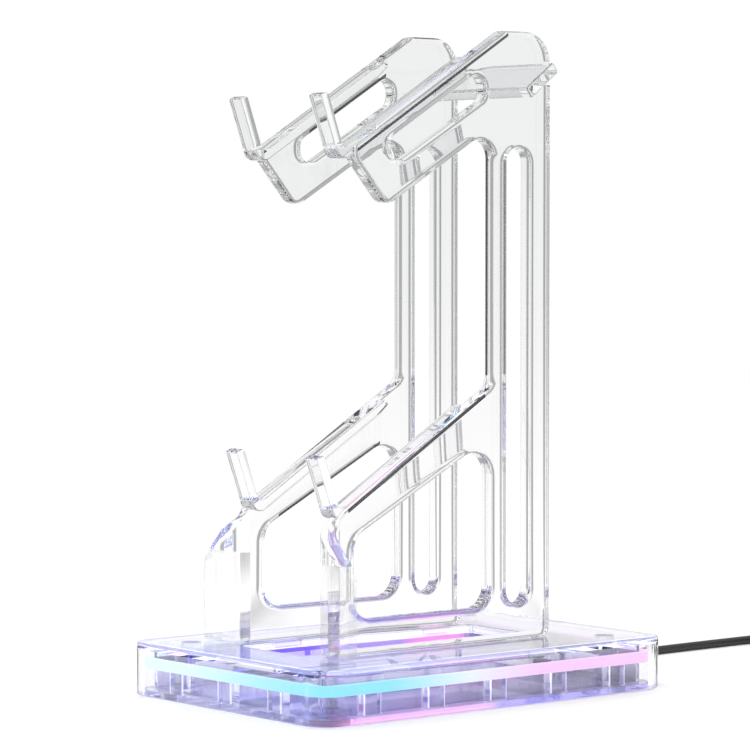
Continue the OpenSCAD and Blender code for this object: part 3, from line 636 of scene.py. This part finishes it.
def framePaintedLight(m):
    # painted shade: a little greyer toward the top. Painted dark reflections: black lines where polished edges turn
    # away from the light, along the outer top edge of each arm, the top of the left frame's windows and head, and
    # the right column's inner front edge. Painted glints: the ledges' outer edges pick up the band's colours as
    # emission
    x, y, z = place(m)
    side = m.sum("ABSOLUTE", x)
    slope = radians(frameSet["armSlope"])
    upperZ, lowerZ = ((frameSet[k] + frameSet["baseTop"]) * mm for k in ("armTop", "lowerTop"))
    underUpper = below(m, y, z, frameSet["armFront"] * mm, upperZ, slope)
    underLower = below(m, y, z, frameSet["columnFront"] * mm, lowerZ, slope)
    outer = m.sum("GREATER_THAN", side, lineSet["outerFrom"])
    dark, glint = 0, []
    # painted dark reflections: black lines along each arm's outer top edge
    for under, middle, ends in ((underUpper, lineSet["upperEdge"], lineSet["upperEnds"]),
                                (underLower, lineSet["lowerEdge"], lineSet["lowerEnds"])):
        line = within(m, under, middle - lineSet["edgeHalf"], middle + lineSet["edgeHalf"])
        dark = dark + line * within(m, y, *ends) * outer
        glintFrom, glintTo = (lineSet["glintAt"] + s * lineSet["glintHalf"] for s in (-1, 1))
        edge = within(m, x, glintFrom, glintTo)
        edge = edge * within(m, under, -lineSet["glintDeep"], lineSet["glintDeep"])
        glint.append(edge * within(m, y, ends[0] + lineSet["glintTrim"][0], ends[1] - lineSet["glintTrim"][1]))
    # painted dark reflections: black lines on the left frame's head and window tops and the right column's edge
    inner = within(m, x, *lineSet["leftInner"])
    head = within(m, x, *lineSet["headX"]) * m.sum("GREATER_THAN", z, lineSet["headZ"])
    dark = dark + head * within(m, y, *lineSet["headY"])
    column = within(m, x, *lineSet["columnX"]) * within(m, y, *lineSet["columnY"])
    dark = dark + column * within(m, z, *lineSet["columnZ"])
    (ya, za), (yb, zb) = (w[:2] for w in frameWindows[1][3:1:-1])
    lowWindow = below(m, y, z, ya * mm, za * mm, np.arctan2(zb - za, yb - ya))
    (yc, zc), (yd, zd) = (w[:2] for w in frameWindows[0][3:1:-1])
    highWindow = below(m, y, z, yc * mm, zc * mm, np.arctan2(zd - zc, yd - yc))
    for under, low, high, trim in ((lowWindow, ya, yb, lineSet["lowTrim"]),
                                   (highWindow, yc, yd, lineSet["highTrim"])):
        line = within(m, under, lineSet["windowFrom"], lineSet["windowTo"])
        dark = dark + line * within(m, y, (low + trim[0]) * mm, (high - trim[1]) * mm) * inner
    # painted shade: the clear plastic a little greyer toward the top
    paintedShade = m.mix(z.between(*lineSet["shadeHeight"]), rgba(*lineSet["lowShadeTone"]), rgba(*lineSet["highShadeTone"]))
    upperTone = m.make("ValToRGB", {"stops": lineSet["upperStops"]}, {0: (y + 0.05) * 12})
    lowerTone = m.make("ValToRGB", {"stops": lineSet["lowerStops"]}, {0: (y + 0.055) * 17})
    # painted glints: the ledges' outer edges glow in the band's colours
    lit = m.mix(glint[0], rgba(0, 0, 0), upperTone)
    lit = m.mix(glint[1], lit, lowerTone)
    lines = m.sum("MAXIMUM", dark, (glint[0] + glint[1]) * lineSet["underGlint"], clamp=True)
    return {"Base Color": m.mix(lines, paintedShade, rgba(*lineSet["lineTone"])), "Emission Color": lit}


def footFade(m):  # the turned feet look all but clear, with the refraction of their bend hardly to be seen
    _, y, z = place(m)
    turned = m.sum("LESS_THAN", y, lineSet["footFrom"]) * m.sum("LESS_THAN", z, lineSet["footTop"])
    return turned * lineSet["footClear"]


# places and colours of the band's light and shade painted into the clear cover
rimSet = {
    "wallX": (-0.0229, -0.0212), "wallZ": (0.0165, 0.0236),
    "wallStops": [(0.0, (0.10, 0.06, 0.72)), (1.0, (0.05, 0.05, 0.30)), (0.30, (0.14, 0.07, 0.75)),
                  (0.38, (0.30, 0.20, 0.70)), (0.68, (0.34, 0.22, 0.72)), (0.74, (0.82, 0.20, 0.72)),
                  (0.94, (0.85, 0.25, 0.75))],
    "rimX": 0.0672, "rimY": 0.0972, "rimLow": 0.0226, "rimTone": (0.30, 0.31, 0.48),
    "topLow": 0.0242, "topFade": (-0.08, 0.04), "topTone": (0.01, 0.02, 0.10),
    "trayX": 0.0222, "trayY": (-0.0722, 0.0582), "trayTop": 0.0243,
    "body": (0.97, 0.97, 0.99), "trayShade": (0.62, 0.60, 0.80),
}


def coverGlow(m):
    # painted light: the band's light in the clear cover as emission: the tray's left wall is violet, then pink
    # toward the rear, the top's edge gets a pale painted highlight, and the top is bluish at the front. Painted
    # shade: the tray's plastic darker and violet
    x, y, z = place(m)
    wall = within(m, x, *rimSet["wallX"]) * within(m, z, *rimSet["wallZ"])
    wallTone = m.make("ValToRGB", {"stops": rimSet["wallStops"]}, {0: (y + 0.072) * 7.7})
    across, along = m.sum("ABSOLUTE", x), m.sum("ABSOLUTE", y)
    sides, ends = m.sum("GREATER_THAN", across, rimSet["rimX"]), m.sum("GREATER_THAN", along, rimSet["rimY"])
    rim = m.sum("MAXIMUM", sides, ends) * m.sum("GREATER_THAN", z, rimSet["rimLow"])
    top = m.sum("GREATER_THAN", z, rimSet["topLow"]) * (1 - y.between(*rimSet["topFade"]))
    tone = m.mix(top, rgba(0, 0, 0), rgba(*rimSet["topTone"]))
    tone = m.mix(rim, tone, rgba(*rimSet["rimTone"]))
    tray = m.sum("LESS_THAN", across, rimSet["trayX"]) * within(m, y, *rimSet["trayY"])
    tray = tray * m.sum("LESS_THAN", z, rimSet["trayTop"])
    # painted shade: the tray's clear plastic darker and violet
    body = m.mix(tray, rgba(*rimSet["body"]), rgba(*rimSet["trayShade"]))
    return {"Base Color": body, "Emission Color": m.mix(wall, tone, wallTone)}


glowSet = {
    "pale": (0.74, 0.95, 0.94), "cyan": (0.22, 0.78, 0.90), "lilac": (0.80, 0.88, 0.96), "pink": (0.93, 0.56, 0.93),
    "fadeX": (-0.045, 0.062), "fadeY": (-0.09, 0.03),
}


def bandGlow(m):  # pale cyan at the front left, cyan round the front right corner, then lilac and pink to the rear
    x, y, _ = place(m)
    stops = [(0.0, glowSet["cyan"]), (1.0, glowSet["pink"]), (0.2, glowSet["cyan"]), (0.42, glowSet["lilac"]),
             (0.62, glowSet["pink"])]
    along = m.make("ValToRGB", {"stops": stops}, {0: (y + 0.1) * 5})
    frontLeft = (1 - x.between(*glowSet["fadeX"])) * (1 - y.between(*glowSet["fadeY"]))
    return {"Emission Color": m.mix(frontLeft, along, rgba(*glowSet["pale"]))}


ribSet = {"pitch": 0.035, "half": 0.00435, "line": 0.00012, "reachX": 0.0643, "reachY": 0.0943}
# places and colours of the light and shade painted into the clear floor
floorSet = {  # places in metres and colours
    "ribLow": (0.0036, 0.0045), "ribTone": (0.62, 0.62, 0.72),
    "glowFade": (-0.09, 0.02), "frontGlow": (0.008, 0.009, 0.03), "rearGlow": (0.012, 0.010, 0.03),
    "edgeHigh": (0.0030, 0.0036), "edgeX": (0.055, 0.06),
    "edgeStops": [(0.0, (0, 0, 0)), (1.0, (0.1, 0.1, 0.12)), (0.05, (0.32, 0.12, 0.26)), (0.46, (0.3, 0.14, 0.3)),
                  (0.5, (0.08, 0.05, 0.35)), (0.6, (0.06, 0.05, 0.3))],
    "edgeFade": (-0.01, 0.0), "edgeFront": (0.98, 0.50, 0.88), "edgeRear": (0.45, 0.42, 0.9),
    "rightFade": (-0.08, 0.06), "rightFront": (0.44, 0.39, 0.62), "rightRear": (0.38, 0.37, 0.44),
    "frontY": (-0.09, -0.086), "frontFade": (-0.06, 0.03),
    "frontLeft": (0.93, 0.95, 0.99), "frontRight": (0.68, 0.70, 0.96),
    "insideX": (0.050, 0.056), "insideY": (0.08, 0.086), "insideTone": (0.88, 0.90, 0.99),
    "trayX": (0.020, 0.023), "trayFront": (-0.075, -0.07), "trayRear": (0.055, 0.06),
    "trayFade": (-0.005, 0.02), "trayNear": (0.46, 0.44, 0.93), "trayFar": (0.93, 0.55, 0.92),
    "bodyHeight": (0.004, 0.02), "bodyTone": (0.90, 0.90, 0.97),
}


def floorPlateLight(m):
    # painted light in the clear floor: a faint violet glow, bluer to the front, as emission. Two things are painted
    # lit: the faces of the ribs, half a rib's width off each multiple of the pitch, and the floor's polished edge
    # on the right, pink and then blue, as a painted reflection of the band
    x, y, z = place(m)
    f = floorSet
    tone = m.mix(y.between(*f["glowFade"]), rgba(*f["frontGlow"]), rgba(*f["rearGlow"]))
    ribs = 0
    for side, across, reach in ((x, y, ribSet["reachX"]), (y, x, ribSet["reachY"])):
        off = m.sum("PINGPONG", m.sum("ABSOLUTE", across), ribSet["pitch"] / 2)
        off = m.sum("ABSOLUTE", off - ribSet["half"])
        outside = m.sum("GREATER_THAN", m.sum("ABSOLUTE", side), reach)
        ribs = ribs + m.sum("LESS_THAN", off, ribSet["line"]) * outside
    ribs = ribs * z.between(*f["ribLow"])
    low = (1 - z.between(*f["edgeHigh"])) * x.between(*f["edgeX"])
    edgeTone = m.make("ValToRGB", {"stops": f["edgeStops"]}, {0: (y + 0.09) * 5.4})
    glowTone = m.mix(low, m.mix(m.sum("MINIMUM", ribs, 1), tone, rgba(*f["ribTone"])), edgeTone)
    # painted shade and reflections in the base colour: the border darker violet grey, the front strip bluer toward
    # the right, the middle near white, pink and blue under the tray and along the right edge
    right = m.mix(y.between(*f["rightFade"]), rgba(*f["rightFront"]), rgba(*f["rightRear"]))
    front = m.mix(x.between(*f["frontFade"]), rgba(*f["frontLeft"]), rgba(*f["frontRight"]))
    grey = m.mix(y.between(*f["frontY"]), front, right)
    sideX, sideY = m.sum("ABSOLUTE", x), m.sum("ABSOLUTE", y)
    inside = (1 - sideX.between(*f["insideX"])) * (1 - sideY.between(*f["insideY"]))
    grey = m.mix(inside, grey, rgba(*f["insideTone"]))
    underTray = (1 - sideX.between(*f["trayX"])) * y.between(*f["trayFront"]) * (1 - y.between(*f["trayRear"]))
    grey = m.mix(underTray, grey, m.mix(y.between(*f["trayFade"]), rgba(*f["trayNear"]), rgba(*f["trayFar"])))
    grey = m.mix(low, grey, m.mix(y.between(*f["edgeFade"]), rgba(*f["edgeFront"]), rgba(*f["edgeRear"])))
    body = m.mix(z.between(*f["bodyHeight"]), grey, rgba(*f["bodyTone"]))
    return {"Base Color": body, "Emission Color": glowTone}


clearFrame = finish("clearFrame", {**clear, "Emission Strength": 1.0}, True, framePaintedLight, footFade)
clearCover = finish("clearCover", {**clear, "Emission Strength": 1.0}, True, coverGlow)
clearFloor = finish("clearFloor", {**clear, "Roughness": 0.03, "Emission Strength": 1.0}, True, floorPlateLight)
bandBody = {"Base Color": rgba(0.06, 0.08, 0.09), "Roughness": 0.5, "Emission Strength": 1.0}
glow = finish("glowBand", bandBody, extra=bandGlow)


def grain(m, size, depth, tone, spread=0.12, rough=(0.35, 0.5)):
    # moulded surface: fine noise raises the skin by depth metres, and slower noise shifts tone and polish
    spot = m.make("TexCoord", {}, {}, 3)
    fine = m.make("TexNoise", {}, {"Vector": spot, "Scale": 1 / size, "Detail": 3.0})
    slow = m.make("TexNoise", {}, {"Vector": spot, "Scale": 90.0, "Detail": 2.0})
    darker, lighter = ([c * k for c in tone] for k in (1 - spread, 1 + spread))
    return {
        "Base Color": m.mix(slow, rgba(*darker), rgba(*lighter)),
        "Roughness": rough[0] + slow * (rough[1] - rough[0]),
        "Normal": m.make("Bump", {}, {"Strength": 0.6, "Distance": depth, "Height": fine}),
    }


black = finish("blackJacket", {}, extra=lambda m: grain(m, 0.0005, 0.00003, (0.020, 0.020, 0.021)))
blackPart = finish("blackPart", {},
                   extra=lambda m: grain(m, 0.0003, 0.00002, (0.035, 0.035, 0.037), rough=(0.4, 0.6)))
steel = finish("platedSteel", {"Metallic": 1.0},
               extra=lambda m: grain(m, 0.0008, 0.000005, (0.68, 0.69, 0.71), 0.05, (0.16, 0.3)))
white = finish("whitePart", {}, extra=lambda m: grain(m, 0.0006, 0.00001, (0.82, 0.82, 0.81), 0.03))
board = finish("whiteBoard", {"Coat Weight": 0.4},
               extra=lambda m: grain(m, 0.0006, 0.00001, (0.80, 0.82, 0.82), 0.04, (0.25, 0.35)))
film = finish("stripFilm", {}, extra=lambda m: grain(m, 0.001, 0.00001, (0.84, 0.84, 0.82), 0.04, (0.4, 0.55)))
chips = finish("lightChips", {"Emission Color": rgba(1.0, 0.97, 0.85), "Emission Strength": 0.3},
               extra=lambda m: grain(m, 0.0005, 0.00001, (0.88, 0.85, 0.55), 0.05, (0.15, 0.25)))
rubber = finish("softFeet", {"Subsurface Weight": 0.2},
                extra=lambda m: grain(m, 0.0005, 0.00004, (0.55, 0.56, 0.58), 0.06, (0.5, 0.7)))
for piece in (rightFrame, leftFrame, crossbar):
    dress(piece, clearFrame)
dress(cover, clearCover)
dress(nodes["floor_plate"], clearFloor)
dress(nodes["light_band"], glow)


def refined(label, node, width, material, segments=2):
    # a merged copy of the solid with its flat faces joined and its edges rounded
    piece = bpy.data.objects.new(label, nodes[node].data.copy())
    scene.collection.objects.link(piece)
    tidy = bmesh.new()
    tidy.from_mesh(piece.data)
    bmesh.ops.remove_doubles(tidy, verts=tidy.verts, dist=1e-6)
    bmesh.ops.dissolve_limit(tidy, angle_limit=radians(1), verts=tidy.verts, edges=tidy.edges)
    tidy.to_mesh(piece.data)
    tidy.free()
    bevel = piece.modifiers.new("softEdges", "BEVEL")
    bevel.width, bevel.segments = width * mm, segments
    bevel.limit_method, bevel.angle_limit = "ANGLE", radians(35)
    smoothed(piece)
    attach(piece, "root")
    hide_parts(node)
    dress(piece, material)
    return piece


plugBody = refined("plugGrip", "plug_body", 1.2, blackPart, 3)
plugShell = refined("plugMetal", "plug_shell", 0.12, steel)
plugTongue = refined("plugBlade", "plug_tongue", 0.2, white)
tie = refined("tieStrap", "coil_tie", 0.3, blackPart)
for side in ("front_left", "front_right", "rear_left", "rear_right"):
    refined(side.replace("_l", "L").replace("_r", "R") + "Pad", side + "_foot", 0.35, rubber, 3)
plainNodes = {
    "strain_relief": black, "inner_lead": black, "driver_chip": blackPart, "board_screws": steel,
    "base_screws": steel, "led_strip": film, "led_chips": chips, "control_board": board, "board_socket": white,
}
for name, material in plainNodes.items():
    dress(nodes[name], material)
dress(lead, black)
print("finishes given")
